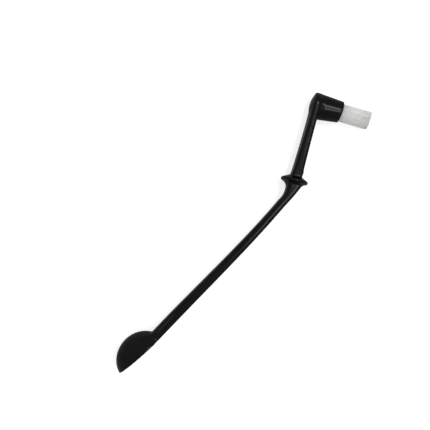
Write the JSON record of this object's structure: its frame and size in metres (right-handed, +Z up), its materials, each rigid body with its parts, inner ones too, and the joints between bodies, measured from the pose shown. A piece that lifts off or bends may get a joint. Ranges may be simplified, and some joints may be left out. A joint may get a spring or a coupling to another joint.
{
  "type": "group head brush",
  "caption": "Hooked cleaning brush with a round nylon bristle bundle in an angled socket head, a splash guard, a slim handle and a small scoop at its other end.",
  "frame": {"origin": "bottom centre of the bounding box of the brush lying on its side", "axes": "+X along the handle from the scoop towards the bristle head, +Y towards the closed back of the scoop, +Z up from the surface the brush lies on"},
  "size_m": [0.2398, 0.0412, 0.0239],
  "materials": {
    "black_plastic": "smooth moulded, satin gloss",
    "white_plastic": "plain moulded",
    "nylon_filament": "fine white filaments, slightly translucent"
  },
  "bodies": {
    "root": {"brush_body": "black_plastic", "bristle_cup": "white_plastic", "bristles": "nylon_filament"}
  },
  "joints": []
}
